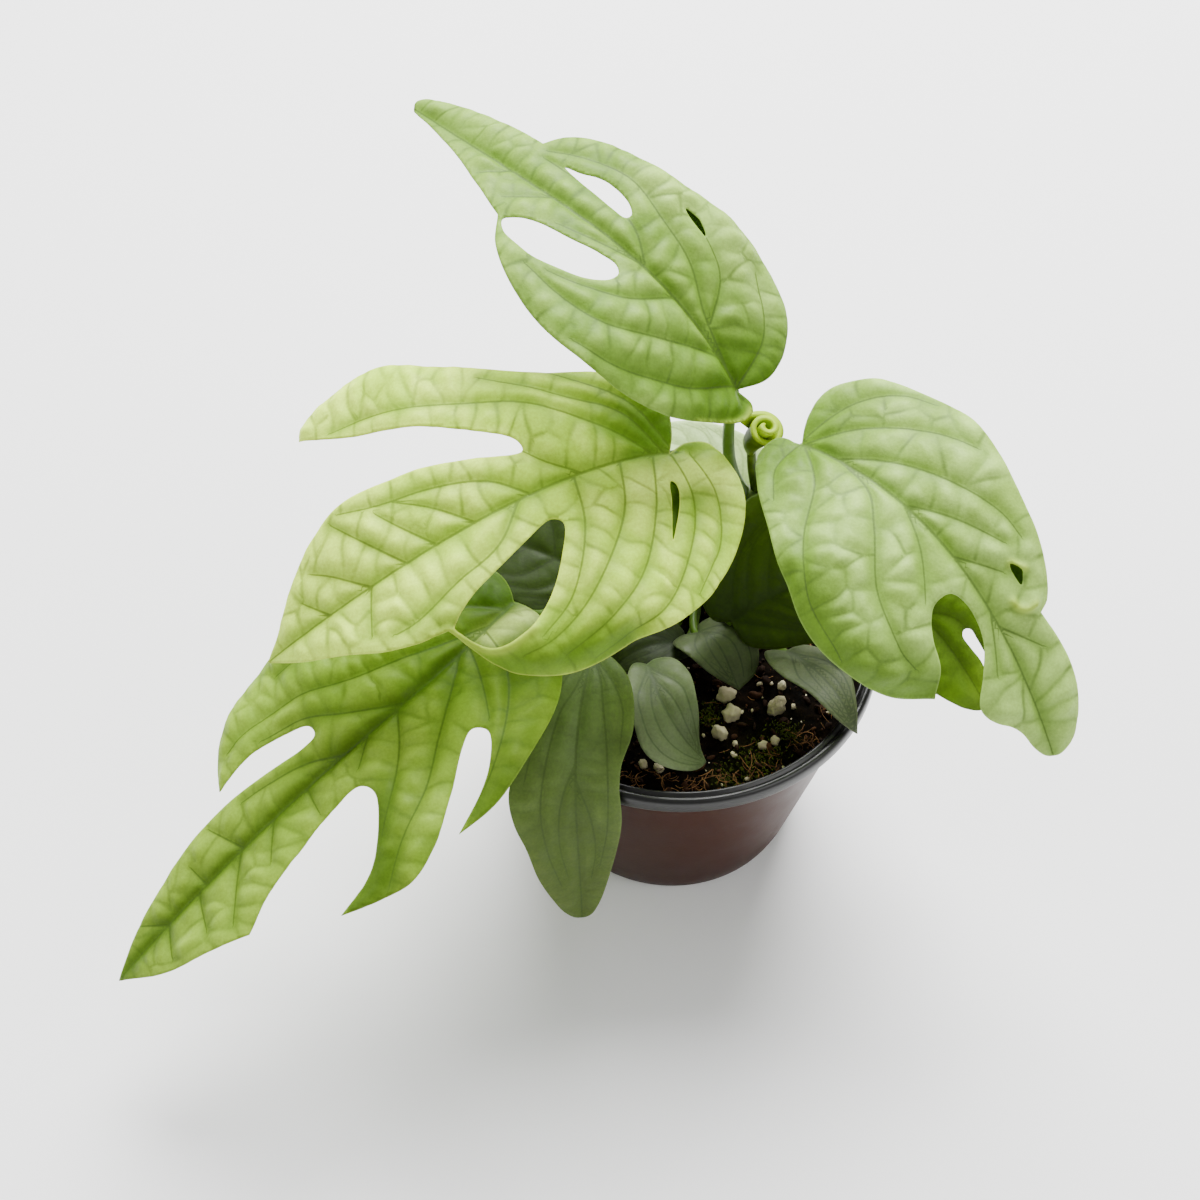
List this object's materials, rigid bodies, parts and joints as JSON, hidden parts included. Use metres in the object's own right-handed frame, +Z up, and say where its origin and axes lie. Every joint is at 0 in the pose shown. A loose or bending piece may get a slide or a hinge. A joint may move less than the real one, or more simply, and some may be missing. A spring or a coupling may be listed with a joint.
{
  "type": "potted silver amydrium",
  "caption": "Young climbing aroid with large pale, quilted, deeply cut leaves in a small round black nursery pot.",
  "frame": {"origin": "centre of the pot's underside, on the surface that it stands on", "axes": "+Z up along the pot's axis; the pictured front faces -Y; the large leaves reach towards -X"},
  "size_m": [0.2238, 0.1742, 0.1744],
  "materials": {
    "pot": "thin black-brown moulded plastic, glossy",
    "soil": "damp dark potting mix of bark and fibre with pale mineral grains, matte",
    "stem": "smooth dark green stem with ringed nodes",
    "leaf_pale": "pale silver-green satin leaf with sunken veins",
    "leaf_bright": "very pale yellow-green satin leaf with sunken veins",
    "leaf_green": "yellow-green satin leaf with sunken veins",
    "leaf_dark": "dark green leaf, satin",
    "leaf_silver": "grey-green leaf with a silver sheen, satin",
    "leaf_young": "fresh yellow-green rolled young leaf, satin"
  },
  "bodies": {
    "root": {"pot": "pot", "soil": "soil", "vine_stem": "stem", "leaf_top": "leaf_pale", "leaf_left": "leaf_bright", "leaf_front_left": "leaf_green", "leaf_right": "leaf_pale", "leaf_under_right": "leaf_dark", "leaf_over_rim_front": "leaf_dark", "leaf_small_front": "leaf_silver", "leaf_over_rim_right": "leaf_silver", "leaf_small_middle": "leaf_dark", "leaf_small_left": "leaf_dark", "leaf_under_left": "leaf_dark", "leaf_back": "leaf_silver", "young_leaf": "leaf_young"}
  },
  "joints": []
}
